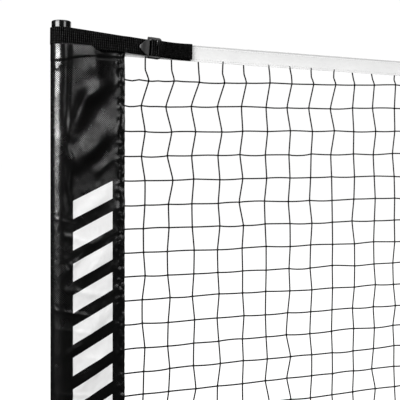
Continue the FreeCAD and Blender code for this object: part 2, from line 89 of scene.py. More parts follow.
WEAVE_AROUND = 3.4 * MM
WEAVE_UP = 3.1 * MM
PRINT_ACROSS = (20 * MM, 83 * MM)
PRINT_TOP = 708 * MM
PRINT_COUNT = 9
PRINT_PITCH = 46 * MM
PRINT_SHARE = 0.58
PRINT_SLANT = 0.45


def grey(value):
    return (value, value, value)


def feed(tree, into, source):
    """Feed a socket from another socket or from a number or colour."""
    if isinstance(source, bpy.types.NodeSocket):
        tree.links.new(source, into)
    else:
        into.default_value = source


def math_node(tree, operation, *sources):
    node = tree.nodes.new("ShaderNodeMath")
    node.operation = operation
    for into, source in zip(node.inputs, sources):
        feed(tree, into, source)
    return node.outputs[0]


class Nodes:
    """A material's node tree, with short calls to add and join nodes."""

    def __init__(self, name, color, roughness, **sockets):
        self.material = bpy.data.materials.new(name)
        self.material.use_nodes = True
        self.tree = self.material.node_tree
        self.tree.nodes.clear()
        self.shader = self.add("ShaderNodeBsdfPrincipled")
        output = self.add("ShaderNodeOutputMaterial")
        self.join(self.shader.outputs[0], output.inputs[0])
        self.shader.inputs["Base Color"].default_value = (*color, 1)
        self.shader.inputs["Roughness"].default_value = roughness
        for socket, value in sockets.items():
            self.shader.inputs[socket.replace("_", " ")].default_value = value

    def add(self, kind, **settings):
        node = self.tree.nodes.new(kind)
        for key, value in settings.items():
            setattr(node, key, value)
        return node

    def join(self, out, into):
        self.tree.links.new(out, into)

    def value(self, into, source):
        feed(self.tree, into, source)

    def math(self, operation, *sources):
        return math_node(self.tree, operation, *sources)

    def uv(self):
        """The surface's own length and width, in metres."""
        split = self.add("ShaderNodeSeparateXYZ")
        self.join(self.add("ShaderNodeUVMap").outputs[0], split.inputs[0])
        return split.outputs[0], split.outputs[1]

    def noise(self, scale, detail, roughness=0.5):
        node = self.add("ShaderNodeTexNoise")
        node.inputs["Scale"].default_value = scale
        node.inputs["Detail"].default_value = detail
        node.inputs["Roughness"].default_value = roughness
        self.join(self.add("ShaderNodeTexCoord").outputs["Object"], node.inputs["Vector"])
        return node.outputs[0]

    def ramp(self, source, low, high, at_low=0.0, at_high=1.0):
        node = self.add("ShaderNodeMapRange", clamp=True)
        self.join(source, node.inputs[0])
        for socket, number in zip(node.inputs[1:5], (low, high, at_low, at_high)):
            self.value(socket, number)
        return node.outputs[0]

    def wave(self, source, pitch, sharp=1.0):
        """0 to 1 and back once every pitch along a length."""
        turned = self.math("MULTIPLY", source, 2 * math.pi / pitch)
        height = self.math("MULTIPLY_ADD", self.math("SINE", turned), 0.5, 0.5)
        return self.math("POWER", height, sharp) if sharp != 1.0 else height

    def bump(self, height, distance, strength, after=None):
        node = self.add("ShaderNodeBump")
        node.inputs["Distance"].default_value = distance
        node.inputs["Strength"].default_value = strength
        self.join(height, node.inputs["Height"])
        if after is not None:
            self.join(after, node.inputs["Normal"])
        return node.outputs[0]

    def colour(self, share, first, second):
        """Base colour that goes from the first to the second, which a share mixes in. The
        first is a colour or what an earlier call returned."""
        node = self.add("ShaderNodeMix", data_type="RGBA")
        mixed = isinstance(first, bpy.types.NodeSocket)
        self.join(share, node.inputs["Factor"])
        self.value(node.inputs["A"], first if mixed else (*first, 1))
        self.value(node.inputs["B"], (*second, 1))
        self.join(node.outputs["Result"], self.shader.inputs["Base Color"])
        return node.outputs["Result"]

    def finish(self, normal, roughness=None):
        self.join(normal, self.shader.inputs["Normal"])
        if roughness is not None:
            self.join(roughness, self.shader.inputs["Roughness"])
        return self.material


def powder_coat():
    """Gloss black tube: faint orange peel, and rub marks scattered by noise."""
    coat = {"Coat_Weight": 0.7, "Coat_Roughness": 0.08}
    n = Nodes("powder_coat", grey(0.003), 0.16, Specular_IOR_Level=0.75, **coat)
    peel = n.noise(420, 2)
    scuffs = n.noise(38, 6, 0.7)
    n.colour(n.ramp(scuffs, 0.62, 0.8), grey(0.002), grey(0.012))
    return n.finish(n.bump(peel, 0.00004, 0.35), n.ramp(scuffs, 0.45, 0.8, 0.14, 0.34))


def moulded_plastic(name, color, roughness, grain, gloss):
    """Moulded plastic with a fine spark-eroded grain and rubbed spots scattered by noise."""
    n = Nodes(name, color, roughness, Specular_IOR_Level=gloss)
    texture = n.noise(grain, 3)
    wear = n.noise(60, 5, 0.65)
    lighter = tuple(c * 1.8 for c in color)
    n.colour(n.ramp(wear, 0.5, 0.8), color, lighter)
    rubbed = n.ramp(wear, 0.4, 0.7, roughness, roughness + 0.12)
    return n.finish(n.bump(texture, 0.00005, 0.5), rubbed)


def rubber():
    """Matt rubber with pale dust in its grain."""
    n = Nodes("foot_rubber", grey(0.02), 0.75)
    dust = n.noise(45, 7, 0.7)
    n.colour(n.ramp(dust, 0.5, 0.75), grey(0.016), (0.06, 0.057, 0.052))
    return n.finish(n.bump(n.noise(900, 3), 0.0001, 0.6), n.ramp(dust, 0.3, 0.8, 0.6, 0.9))


def spring_steel():
    """Zinc-plated steel, faintly brushed."""
    n = Nodes("zinc_steel", (0.62, 0.62, 0.6), 0.28, Metallic=1.0)
    brushed = n.noise(300, 4, 0.7)
    n.colour(brushed, (0.5, 0.5, 0.48), (0.72, 0.72, 0.7))
    return n.finish(n.bump(brushed, 0.00003, 0.5), n.ramp(brushed, 0.3, 0.7, 0.2, 0.4))


def flip(n, share):
    return n.math("SUBTRACT", 1.0, share)


STITCH_PITCH = 4.5 * MM
THREAD_W = 0.7 * MM


def stitch_line(n, length, width, at):
    """1 along a dashed line of stitches that runs lengthwise at one place across the width."""
    across = n.math("ABSOLUTE", n.math("SUBTRACT", width, at))
    on_line = n.ramp(across, THREAD_W / 2, THREAD_W, 1.0, 0.0)
    dash = n.ramp(n.wave(length, STITCH_PITCH), 0.28, 0.42)
    return n.math("MULTIPLY", on_line, dash)


def printed_blocks(n, across, up):
    """1 inside a plain row of slanted blocks printed down the sleeve."""
    slant = n.math("MULTIPLY_ADD", across, PRINT_SLANT, up)
    down = n.math("DIVIDE", n.math("SUBTRACT", PRINT_TOP, slant), PRINT_PITCH)
    bar = n.math("LESS_THAN", n.math("FRACT", down), PRINT_SHARE)
    for source, low, high in ((across, *PRINT_ACROSS), (down, 0, PRINT_COUNT)):
        bar = n.math("MULTIPLY", bar, n.math("GREATER_THAN", source, low))
        bar = n.math("MULTIPLY", bar, n.math("LESS_THAN", source, high))
    return bar


def coated_fabric():
    """Black vinyl-coated cloth: checkered weave, glossier where it is stretched over the
    tube, with pale printed blocks."""
    n = Nodes("coated_fabric", grey(0.004), 0.3, Coat_Roughness=0.17)
    around, up = n.uv()
    across = n.math("MINIMUM", around, n.math("SUBTRACT", SLEEVE_ROUND, around))
    over = n.wave(around, WEAVE_AROUND)
    under = n.wave(up, WEAVE_UP)
    both = n.math("MULTIPLY", over, under)
    neither = n.math("MULTIPLY", flip(n, over), flip(n, under))
    checks = n.math("ADD", both, neither)
    sharp = n.ramp(checks, 0.38, 0.62)
    stretched = n.ramp(across, SLEEVE_W, SLEEVE_W + 5 * MM, 0.75, 2.2)
    mottle = n.ramp(n.noise(45, 3, 0.55), 0.36, 0.64, 0.55, 1.3)
    raised = n.ramp(sharp, 0.0, 1.0, 0.02, 1.0)
    gloss = n.math("MULTIPLY", n.math("MULTIPLY", stretched, mottle), raised)
    ink = printed_blocks(n, across, up)
    bare = flip(n, ink)
    shine = n.math("MULTIPLY", gloss, n.ramp(bare, 0.0, 1.0, 0.3, 1.0))
    n.value(n.shader.inputs["Specular IOR Level"], shine)
    coat = n.math("MULTIPLY", n.math("MULTIPLY", gloss, bare), 0.5)
    n.value(n.shader.inputs["Coat Weight"], coat)
    cloth = n.noise(26, 5, 0.6)
    yarn = n.colour(sharp, grey(0.0002), grey(0.006))
    n.colour(ink, yarn, grey(0.76))
    weave = n.bump(checks, 0.00011, 0.7)
    rumple = n.bump(n.noise(60, 4, 0.55), 0.001, 0.24, weave)
    return n.finish(rumple, n.ramp(cloth, 0.3, 0.7, 0.2, 0.3))


def webbing(name, rib_pitch, cross_pitch, relief, pale):
    """Polypropylene webbing: ribs across its width, crossed by lengthwise yarns."""
    n = Nodes(name, grey(0.006), 0.4, Specular_IOR_Level=0.04)
    length, width = n.uv()
    ribs = n.wave(length, rib_pitch, 2.0)
    yarns = n.wave(width, cross_pitch)
    weave = n.math("MULTIPLY", ribs, n.ramp(yarns, 0.0, 1.0, 0.45, 1.0))
    weave = n.math("MULTIPLY", weave, n.ramp(n.noise(700, 2), 0.35, 0.7, 0.3, 1.7))
    n.colour(weave, grey(0.0002), grey(pale))
    n.value(n.shader.inputs["Specular IOR Level"], n.math("MULTIPLY", weave, 0.25))
    fuzz = n.bump(n.noise(1500, 2), 0.0002, 0.35)
    return n.finish(n.bump(weave, relief, 1.0, fuzz))


TAPE_YARN = 1.1 * MM


def tape_cloth(name, light, dark, thread_and_painted_edge_line, width):
    """Tape with a plain weave, two lines of stitching and a painted line along its first edge:
    painted shade on white cloth, a painted highlight on the black tape.
    """
    n = Nodes(name, light, 0.8, Sheen_Weight=0.15)
    along, across = n.uv()
    weave = n.math("MULTIPLY", n.wave(along, TAPE_YARN), n.wave(across, TAPE_YARN))
    seam = n.math(
        "MAXIMUM",
        stitch_line(n, along, across, width - 3.5 * MM),
        stitch_line(n, along, across, 4.5 * MM),
    )
    # Painted shade along the first edge, where a tape is folded, in the thread's grey. It darkens
    # the white cloth and is a painted highlight on the black tape.
    painted_edge_line_and_crinkle = n.ramp(across, 2 * MM, 3.4 * MM, 1.0, 0.0)
    darker = n.math("MAXIMUM", n.math("MULTIPLY", seam, 0.25), painted_edge_line_and_crinkle)
    mottle = n.ramp(n.noise(18, 5, 0.6), 0.3, 0.75)
    cloth = n.colour(mottle, dark, light)
    n.colour(darker, cloth, thread_and_painted_edge_line)
    base = n.bump(weave, 0.00012, 0.6)
    return n.finish(n.bump(seam, 0.0003, 0.8, base))


TWIST = 3.2 * MM


def twine(name, dark, light):
    """Twisted twine or cord."""
    n = Nodes(name, dark, 0.8, Specular_IOR_Level=0.06)
    along, around = n.uv()
    lay = n.wave(n.math("ADD", along, n.math("MULTIPLY", around, TWIST / 2)), TWIST)
    n.colour(lay, dark, light)
    return n.finish(n.bump(lay, 0.0002, 0.8))


TAPE_WHITES = ((0.76, 0.76, 0.755), grey(0.7))
TAPE_BLACKS = ((0.03, 0.03, 0.032), (0.02, 0.02, 0.021))
MATERIALS = {
    "tube": powder_coat(),
    "cap": moulded_plastic("gloss_cap", grey(0.005), 0.12, 300, 0.8),
    "buckle": moulded_plastic("buckle_plastic", grey(0.013), 0.36, 900, 0.75),
    "rubber": rubber(),
    "steel": spring_steel(),
    "sleeve": coated_fabric(),
    "strap": webbing("ribbed_webbing", 3 * MM, 3.6 * MM, 0.5 * MM, 0.011),
    "anchor": webbing("fine_webbing", 2.2 * MM, 2.6 * MM, 0.3 * MM, 0.005),
    # The grey after each pair of tape colours is for the stitching and for the painted line along
    # the first edge: painted shade on white, a painted highlight on black.
    "white_tape": tape_cloth("white_tape", *TAPE_WHITES, grey(0.42), TAPE_H),
    "black_tape": tape_cloth("black_tape", *TAPE_BLACKS, grey(0.07), TAPE_H),
    "center_strap": tape_cloth("center_webbing", *TAPE_WHITES, grey(0.56), 50 * MM),
    "twine": twine("net_twine", grey(0.002), grey(0.012)),
    "white_cord": twine("white_cord", grey(0.4), grey(0.7)),
}

# ---- mesh builders ----------------------------------------------------------------------


def piece(name, rows, material, uv, closed=False):
    """A grid of points, rows by columns, as a smooth mesh that rides on the frame. uv gives
    each point's place in the cloth. Closed joins the last column to the first."""
    count, across = rows.shape[:2]
    index = np.arange(count * across).reshape(count, across)
    if closed:
        left, right = index, np.roll(index, -1, axis=1)
    else:
        left, right = index[:, :-1], index[:, 1:]
    faces = np.stack([left[:-1], right[:-1], right[1:], left[1:]], axis=-1).reshape(-1, 4)
    obj = mesh_object(name, rows.reshape(-1, 3), faces, material)
    set_uv(obj, uv.reshape(-1, 2))
    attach(obj, "frame")
    return obj


def mesh_object(name, points, faces, material):
    mesh = bpy.data.meshes.new(name)
    mesh.from_pydata(points.tolist(), [], [list(face) for face in faces])
    mesh.polygons.foreach_set("use_smooth", np.ones(len(mesh.polygons), bool))
    mesh.materials.append(MATERIALS[material])
    mesh.update()
    obj = bpy.data.objects.new(name, mesh)
    bpy.context.scene.collection.objects.link(obj)
    return obj


def set_uv(obj, points):
    """Give each corner the cloth coordinates of its point."""
    mesh = obj.data
    corners = np.empty(len(mesh.loops), np.int32)
    mesh.loops.foreach_get("vertex_index", corners)
    layer = mesh.uv_layers.new(name="cloth")
    layer.data.foreach_set("uv", points[corners].astype(np.float32).ravel())


def thicken(obj, thickness, offset=0.0):
    modifier = obj.modifiers.new("thickness", "SOLIDIFY")
    modifier.thickness = thickness
    modifier.offset = offset


def smooth_noise(count, spacing, size):
    """Gentle random wander with one bump about every spacing steps."""
    knots = rng.normal(0, size, count // spacing + 4)
    at = np.linspace(0, len(knots) - 3, count)
    low = at.astype(int)
    share = at - low
    share = share * share * (3 - 2 * share)
    return knots[low] * (1 - share) + knots[low + 1] * share


# ---- net --------------------------------------------------------------------------------

TWINE_R = 1.22 * MM
COLUMN_PITCH = 42.2 * MM
FIRST_COLUMN = 28.5 * MM
NET_ROWS = 19
CELL_STEPS = 5
TWINE_SIDES = 5
NET_PIECES = 6
FIRST_ROW, ROW_PITCH, ROW_SHRINK = 42.8, 41.15, 0.205
END_SAG, SAG_ROWS = 17, 9


def row_depth(row, from_end):
    """Depth of a row of knots below the net's top. The mesh hangs in longer cells near the
    top, and its first rows sag where the sleeve holds the end."""
    depth = FIRST_ROW + ROW_PITCH * row - ROW_SHRINK * row**2
    near_end = np.clip(1.03 - (from_end - 28 * MM) / 0.46, 0, 1)
    sag = END_SAG * near_end * np.clip(1 - row / SAG_ROWS, 0, 1)
    return (depth + sag) * MM


def net_knots():
    """Where the twine crosses: columns by rows of points. Twine is slack near the top."""
    columns = round((2 * TAPE_END - 2 * FIRST_COLUMN) / COLUMN_PITCH) + 1
    x = np.linspace(-TAPE_END + FIRST_COLUMN, TAPE_END - FIRST_COLUMN, columns)
    from_end = TAPE_END - np.abs(x)
    row = np.arange(NET_ROWS)
    depth = row_depth(row[None, :], from_end[:, None])
    drift = smooth_noise(columns, 5, 1.6 * MM) * np.clip((from_end - 0.4) / 0.3, 0, 1)
    depth = depth + drift[:, None] * np.exp(-row / 3)[None, :]
    slack = (2.4 + 4.6 * np.exp(-from_end / 0.5))[:, None] * np.exp(-row / 2.6)[None, :]
    low_slack = 2.0 * np.exp(-((row - 13.5) ** 2) / 6)[None, :]
    zigzag = np.where(row % 2 == 0, 1.0, -1.0)[None, :]
    knots = np.zeros((columns, NET_ROWS, 3))
    wobble = rng.normal(0, 1, (columns, NET_ROWS, 3))
    inward = np.sign(-x)[:, None]
    uneven = rng.uniform(0.75, 1.15, (columns, 1))
    low_uneven = rng.uniform(-1, 1, (columns, 1))
    aside = inward * zigzag * (slack * uneven + low_slack * low_uneven)
    knots[..., 0] = x[:, None] + aside * MM
    knots[..., 0] += wobble[..., 0] * 2.1 * MM
    knots[..., 1] = wobble[..., 1] * 0.8 * MM
    knots[..., 2] = net_top(x)[:, None] - depth + wobble[..., 2] * 0.6 * MM
    return knots


CURVING = 0.4


def spline(points, steps):
    """Smooth lines through rows of points, with the given steps from point to point."""
    before = np.concatenate([2 * points[:, :1] - points[:, 1:2], points[:, :-1]], axis=1)
    after = np.concatenate([points[:, 1:], 2 * points[:, -1:] - points[:, -2:-1]], axis=1)
    slope = (after - before) / 2 * CURVING
    t = (np.arange(steps) / steps)[None, None, :, None]
    p0, p1 = points[:, :-1, None], points[:, 1:, None]
    m0, m1 = slope[:, :-1, None], slope[:, 1:, None]
    curve = (2 * t**3 - 3 * t**2 + 1) * p0 + (t**3 - 2 * t**2 + t) * m0
    curve = curve + (-2 * t**3 + 3 * t**2) * p1 + (t**3 - t**2) * m1
    flat = curve.reshape(points.shape[0], -1, 3)
    return np.concatenate([flat, points[:, -1:]], axis=1)


def twine_tubes(lines, radius, sides):
    """Points, faces and cloth coordinates of a round tube along each line."""
    tangent = np.gradient(lines, axis=1)
    tangent /= np.linalg.norm(tangent, axis=2, keepdims=True)
    depth = np.broadcast_to(np.array([0.0, 1.0, 0.0]), lines.shape)
    side = np.cross(tangent, depth)
    side /= np.linalg.norm(side, axis=2, keepdims=True)
    depth = np.cross(side, tangent)
    angle = np.arange(sides) * 2 * np.pi / sides
    ring = side[:, :, None] * np.cos(angle)[None, None, :, None]
    ring = ring + depth[:, :, None] * np.sin(angle)[None, None, :, None]
    points = lines[:, :, None] + ring * radius
    strands, count = lines.shape[:2]
    index = np.arange(strands * count * sides).reshape(strands, count, sides)
    turned = np.roll(index, -1, axis=2)
    faces = np.stack([index[:, :-1], turned[:, :-1], turned[:, 1:], index[:, 1:]], axis=-1)
    steps = np.linalg.norm(np.diff(lines, axis=1), axis=2)
    along = np.concatenate([np.zeros((strands, 1)), np.cumsum(steps, axis=1)], axis=1)
    uv = np.stack(np.broadcast_arrays(along[:, :, None], angle[None, None, :]), axis=-1)
    return points.reshape(-1, 3), faces.reshape(-1, 4), uv.reshape(-1, 2)


def knot_balls(centers, radius):
    """A small lump of twine, six-sided, at each crossing."""
    sides = 6
    angle = np.arange(sides) * np.pi / 3
    rings = [(0.0, 1.25), (0.8, 0.7), (1.0, 0.0), (0.8, -0.7), (0.0, -1.25)]
    shape = np.array([[[r * math.cos(a), r * math.sin(a), h] for a in angle] for r, h in rings])
    points = centers[:, None, None, :] + shape[None] * radius
    count = len(centers) * len(rings) * sides
    index = np.arange(count).reshape(len(centers), len(rings), sides)
    turned = np.roll(index, -1, axis=2)
    faces = np.stack([index[:, 1:], turned[:, 1:], turned[:, :-1], index[:, :-1]], axis=-1)
    return points.reshape(-1, 3), faces.reshape(-1, 4), np.zeros((count, 2))


def merge(parts):
    """Join lists of points, faces and cloth coordinates into one."""
    points, faces, uvs, start = [], [], [], 0
    for p, f, uv in parts:
        points.append(p)
        faces.append(f + start)
        uvs.append(uv)
        start += len(p)
    return np.concatenate(points), np.concatenate(faces), np.concatenate(uvs)


def make_net():
    """The net in sections: uprights of twine through the knots, and a line along each row.
    Both run into the tapes."""
    knots = net_knots()
    columns, rows = knots.shape[:2]
    top = knots[:, :1].copy()
    top[..., 2] = net_top(top[..., 0]) - TAPE_H + 3 * MM
    inward = np.sign(-top[..., 0])
    top[..., 0] += inward * rng.normal(-4.0, 1.6, (columns, 1)) * MM
    slack = top * 0.45 + knots[:, :1] * 0.55
    slack[..., 0] += inward * rng.normal(-1.2, 1.6, (columns, 1)) * MM
    bottom = knots[:, -1:].copy()
    bottom[..., 2] = net_top(bottom[..., 0]) - NET_DEPTH + TAPE_H - 3 * MM
    uprights = np.concatenate([top, slack, knots, bottom], axis=1)
    ends = []
    for end in (0, -1):
        cap = knots[end : None if end else 1].copy()
        cap[..., 0] = np.sign(cap[..., 0]) * (TAPE_END + 4 * MM)
        ends.append(cap)
    lines = np.concatenate([ends[0], knots, ends[1]], axis=0).transpose(1, 0, 2)
    lines = spline(lines, CELL_STEPS)
    sag = np.tile(np.sin(np.arange(CELL_STEPS) * np.pi / CELL_STEPS), columns + 1)
    droop = rng.normal(0.3, 0.5, (rows, columns + 1)).repeat(CELL_STEPS, axis=1)
    lines[:, :-1, 2] -= sag * droop * MM
    along = lines[..., 0]
    near_corner = np.exp(-(along + TAPE_END) / 0.05) + np.exp((along - TAPE_END) / 0.05)
    fade = np.exp(-np.arange(rows) / 1.2)[:, None]
    lines[..., 2] += near_corner * fade * np.sin(along * 2 * np.pi / 0.03) * 1.6 * MM
    strands = spline(uprights, CELL_STEPS)
    edges = np.linspace(0, columns, NET_PIECES + 1).round().astype(int)
    for i, (start, end) in enumerate(zip(edges[:-1], edges[1:])):
        first = (start + 1) * CELL_STEPS if start else 0
        last = (end + 1) * CELL_STEPS + 1 if end < columns else lines.shape[1]
        points, faces, uv = merge(
            [
                twine_tubes(strands[start:end], TWINE_R, TWINE_SIDES),
                twine_tubes(lines[:, first:last], TWINE_R, TWINE_SIDES),
                knot_balls(knots[start:end].reshape(-1, 3), TWINE_R * 1.5),
            ]
        )
        obj = mesh_object(f"net_section_{i + 1}", points, faces, "twine")
        set_uv(obj, uv)
        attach(obj, "frame")
        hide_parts("net_mesh")


# ---- tapes ------------------------------------------------------------------------------


# The back of the tape, as shares of its height from the fold and of its half thickness. The
# front is the same, and goes down to its edge.
FOLD_DROP = np.array([0, 0.02, 0.08, 0.25, 0.5, 0.75, 0.96, 0.98])
FOLD_BULGE = np.array([0, 0.75, 1.0, 0.74, 0.5, 0.42, 0.42, 0.42])


def folded_tape(name, node, top_offset, sign, material):
    """Tape folded over the edge of the net: rounded at the fold, open at its other edge."""
    low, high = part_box(node)
    x = np.unique(np.concatenate([np.linspace(low.x, high.x, 400), [0.0]]))
    drop = np.concatenate([[1.0], FOLD_DROP[:0:-1], FOLD_DROP])
    bulge = np.concatenate([[-FOLD_BULGE[-1]], -FOLD_BULGE[:0:-1], FOLD_BULGE])
    z = net_top(x)[:, None] - top_offset - sign * drop[None, :] * TAPE_H
    wave = smooth_noise(len(x), 9, 0.35 * MM)[:, None] * drop[None, :]
    y = bulge[None, :] * TAPE_HALF + wave * np.sign(bulge)[None, :]
    edge_wave = smooth_noise(len(x), 5, 0.25 * MM)[:, None] * (drop[None, :] ** 4)
    rows = np.stack(np.broadcast_arrays(x[:, None], y, z + edge_wave), axis=-1)
    across = drop * TAPE_H
    uv = np.stack(np.broadcast_arrays(x[:, None], across[None, :]), axis=-1)
    obj = piece(name, rows, material, uv)
    thicken(obj, 0.7 * MM)
    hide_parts(node)


# ---- sleeves ----------------------------------------------------------------------------

SLEEVE_ROWS = 330
FACE_COLUMNS = 50
WRAP_COLUMNS = 26
LEAVES_POST = 4 * MM
SEAM_W = 8 * MM
HEM_DROP = 27 * MM
# The back's folds are the front's, turned over about half this height in mm.
BACK_TURN = 1056


def crest(u, z, start, end, left_width, right_width, height):
    """A fold between two points, each (distance from the upright, height) in mm. It falls
    away over left_width on its upper left side and right_width on its lower right side."""
    ax, az = (v * MM for v in start)
    bx, bz = (v * MM for v in end)
    length = math.hypot(bx - ax, bz - az)
    run_x, run_z = (bx - ax) / length, (bz - az) / length
    along = ((u - ax) * run_x + (z - az) * run_z) / length
    side = (z - az) * run_x - (u - ax) * run_z
    width = np.where(side > 0, left_width, right_width) * MM
    reach = (6 + 0.5 * max(left_width, right_width)) * MM
    past = np.maximum(np.abs(along - 0.5) - 0.5, 0) * length / reach
    taper = np.exp(-(past**2)) * (0.55 + 0.45 * np.sin(np.pi * np.clip(along, 0, 1)))
    return height * MM * taper * np.exp(-((side / width) ** 2))


FOLDS = [
    # start, end, width on the upper left, width on the lower right, height
    ((8.5, 748), (13, 892), 4, 30, 2.4),
    ((11, 772), (34, 824), 10, 17, 4.6),
    ((34, 824), (90, 852), 12, 13, 4.5),
    ((24, 729), (90, 784), 22, 12, 5.5),
    ((42, 905), (50, 842), 24, 40, 7.0),
    ((60, 880), (92, 878), 9, 30, 4.2),
    ((56, 714), (92, 742), 8, 4, 2.0),
    ((3, 752), (12, 728), 5, 3, 1.8),
    ((12, 728), (8, 692), 3, 4, 1.6),
    ((8, 690), (14, 664), 3, 4, 1.2),
    ((30, 648), (84, 690), 12, 8, 1.6),
    ((20, 596), (70, 616), 9, 6, 1.2),
    ((6, 620), (44, 606), 3, 6, 1.4),
    ((4, 566), (30, 590), 5, 3, 1.4),
    ((8, 540), (60, 528), 4, 6, 1.5),
    ((2, 446), (36, 462), 4, 6, 1.3),
    ((40, 436), (88, 428), 4, 5, 1.3),
    ((4, 360), (40, 372), 5, 4, 1.3),
    ((10, 280), (50, 268), 4, 6, 1.4),
    ((36, 560), (86, 602), 14, 8, 1.8),
    ((14, 505), (40, 498), 3, 3, 1.2),
    ((34, 470), (88, 520), 14, 9, 1.8),
    ((-12, 486), (52, 470), 2.5, 2.5, 0.9),
    ((30, 400), (84, 446), 15, 9, 2.0),
    ((22, 318), (80, 350), 14, 9, 1.8),
    ((30, 236), (86, 282), 13, 8, 2.0),
    ((16, 190), (70, 204), 10, 7, 1.4),
    ((-14, 646), (3, 641), 2.0, 2.0, 0.9),
    ((-12, 512), (30, 503), 2.2, 2.2, 0.9),
    ((-14, 392), (46, 380), 2.4, 2.4, 0.9),
    ((-15, 868), (-4, 861), 2.0, 1.2, 1.1),
    ((-15, 860), (-6, 868), 1.5, 2.0, 0.8),
]


def sleeve_profile(u):
    """Half thickness of the smooth teardrop at a distance from the upright's axis."""
    start = math.sqrt(SLEEVE_R**2 - LEAVES_POST**2)
    t = np.clip((u - LEAVES_POST) / (SLEEVE_W - SEAM_W - LEAVES_POST), 0, 1)
    flat = start * (1 - t) ** 1.1 + 0.9 * MM * t
    on_post = np.sqrt(np.maximum(SLEEVE_R**2 - u**2, 0))
    return np.where(u < LEAVES_POST, on_post, flat)


def row_creases(u, z):
    """Short puckers at the seam, one beside each row of the net."""
    total = 0
    for row in range(NET_ROWS):
        level = net_top(POST_X) - row_depth(row, 28 * MM)
        t = np.clip((SLEEVE_W - u) / (16 * MM), 0, 1)
        total = total + np.exp(-(((z - level + t * 9 * MM) / (2.2 * MM)) ** 2)) * np.sin(np.pi * t)
    return total * 0.8 * MM


def sleeve_front(u, z, top, folds=FOLDS):
    """How far the face stands out at a distance from the upright's axis."""
    border = SLEEVE_W - SEAM_W
    to_border = np.clip((border - u) / (45 * MM), 0, 1)
    flatten = 0.25 + 0.75 * to_border**2 * (3 - 2 * to_border)
    inside = np.clip((u + 17 * MM) / (6 * MM), 0, 1) * flatten
    height = sum(crest(u, z, *fold) for fold in folds) * inside
    hem_at = top - HEM_DROP + 11 * MM * (1 - np.exp(-np.maximum(u, 0) / (28 * MM)))
    hem = -1.8 * MM * np.exp(-(((z - hem_at) / (1.8 * MM)) ** 2))
    hem = hem + 0.5 * MM * (1 + np.tanh((z - hem_at) / (2 * MM)))
    seam = -0.7 * MM * np.exp(-(((u - border) / (1.2 * MM)) ** 2))
    return sleeve_profile(u) + height + hem + seam + row_creases(u, z)


def make_sleeve(word, side):
    """Cloth from the seam round the upright and back to the seam."""
    low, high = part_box(word + "_sleeve")
    top = high.z + 0.6 * MM
    z = np.linspace(low.z, top, SLEEVE_ROWS)
    turn = np.linspace(math.acos(LEAVES_POST / SLEEVE_R), math.pi, WRAP_COLUMNS)
    face = np.linspace(SLEEVE_W, LEAVES_POST, FACE_COLUMNS, endpoint=False)
    u = np.concatenate([face, SLEEVE_R * np.cos(turn)])
    grid_u, grid_z = np.meshgrid(u, z)
    pucker = rng.normal(0, 1, (SLEEVE_ROWS, len(u)))
    for axis in (0, 1):
        pucker = (pucker + np.roll(pucker, 1, axis) + np.roll(pucker, -1, axis)) / 3
    near_seam = np.exp(-((grid_u - SLEEVE_W + 4 * MM) ** 2) / (7 * MM) ** 2)
    # Depth of the crinkles, greater towards the bottom.
    painted_edge_line_and_crinkle = 0.12 + 0.3 * np.clip((740 * MM - grid_z) / (120 * MM), 0, 1)
    rumple = pucker * (painted_edge_line_and_crinkle + 2.0 * near_seam) * MM
    front = -sleeve_front(grid_u, grid_z, top) - rumple
    mirrored = [
        ((a[0], BACK_TURN - b[1]), (b[0], BACK_TURN - a[1]), *shape) for a, b, *shape in FOLDS
    ]
    back = sleeve_front(grid_u, grid_z, top, mirrored) + rumple[::-1]
    wave = smooth_noise(SLEEVE_ROWS, 8, 0.5 * MM)[:, None]
    sway = wave * np.clip((grid_u - SLEEVE_W + 30 * MM) / (30 * MM), 0, 1)
    rows = np.concatenate([(front + sway), (back + sway)[:, ::-1][:, 1:]], axis=1)
    all_u = np.concatenate([grid_u, grid_u[:, ::-1][:, 1:]], axis=1)
    all_z = np.concatenate([grid_z, grid_z[:, ::-1][:, 1:]], axis=1)
    points = np.stack([side * (POST_X - all_u), rows, all_z], axis=-1)
    steps = np.linalg.norm(np.diff(points[SLEEVE_ROWS // 2], axis=0), axis=1)
    along = np.concatenate([[0], np.cumsum(steps)])
    uv = np.stack(np.broadcast_arrays(along[None, :], z[:, None]), axis=-1)
    obj = piece(word + "_sleeve_cloth", points, "sleeve", uv)
    thicken(obj, 0.8 * MM, 1.0 if side < 0 else -1.0)
    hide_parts(word + "_sleeve")


# ---- straps and buckles -----------------------------------------------------------------

LEVELS = {"top": 1, "bottom": -1}
STRAP_FALL = {"top": 4.3, "bottom": -6.6}
STRAP_W = 25 * MM
STRAP_T = 1.3 * MM
TAIL_DROP = 3.0 * MM
ANCHOR_BEND = 172 * MM
# Each strap is drawn about its post's axis: distance along the net, depth and corner radius,
# in mm. It then drops by the slope of its corner.
UPRIGHT_R = 14.3
BUCKLE_BAR = (149, -8.9)
BUCKLE_END = 130.6
LOAD_LEVEL = -3.75
TAIL_LEVEL = -5.65
TAIL_END = 41
WRAP_BAR = (135.9, 143.8)
WRAP_FRONT = -11.6
STRAP_BEND = (112, 131)


def tangent_angle(point, radius, side):
    """Angle on a circle about the post where a line from the point touches it."""
    distance = math.hypot(*point)
    return math.atan2(point[1], point[0]) + side * math.acos(radius / distance)


def arc(center, radius, start, end, step=0.12):
    count = max(2, math.ceil(abs(end - start) / step))
    angles = np.linspace(start, end, count)
    x, y = center[0] + radius * np.cos(angles), center[1] + radius * np.sin(angles)
    return np.stack([x, y], axis=1)


